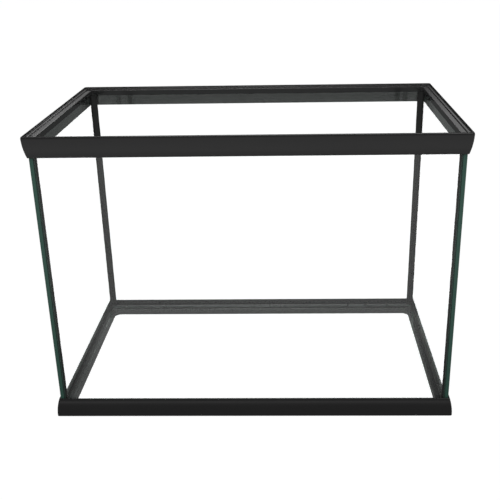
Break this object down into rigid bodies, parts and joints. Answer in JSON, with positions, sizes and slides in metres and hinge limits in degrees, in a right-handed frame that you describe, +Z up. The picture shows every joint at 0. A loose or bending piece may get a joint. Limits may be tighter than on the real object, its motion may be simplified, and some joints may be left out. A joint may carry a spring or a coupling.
{
  "type": "glass aquarium tank",
  "caption": "Open-topped rectangular glass tank with black silicone seams, a moulded black upper frame with a cover ledge, and a moulded black lower frame.",
  "frame": {"origin": "centre of the footprint on the plane the tank rests on", "axes": "+X along the length, +Y from front to back, +Z up"},
  "size_m": [0.42, 0.26, 0.303],
  "materials": {
    "glass": "clear float glass, green at the ground edges",
    "silicone": "cured black aquarium silicone, slightly glossy",
    "frame_plastic": "satin black moulded plastic with a fine texture"
  },
  "bodies": {
    "root": {"front_pane": "glass", "back_pane": "glass", "left_pane": "glass", "right_pane": "glass", "bottom_pane": "glass", "front_left_seam": "silicone", "front_right_seam": "silicone", "back_left_seam": "silicone", "back_right_seam": "silicone", "front_bottom_seam": "silicone", "back_bottom_seam": "silicone", "left_bottom_seam": "silicone", "right_bottom_seam": "silicone", "upper_frame_bond": "silicone", "lower_frame_bond": "silicone", "upper_frame": "frame_plastic", "lower_frame": "frame_plastic"}
  },
  "joints": []
}
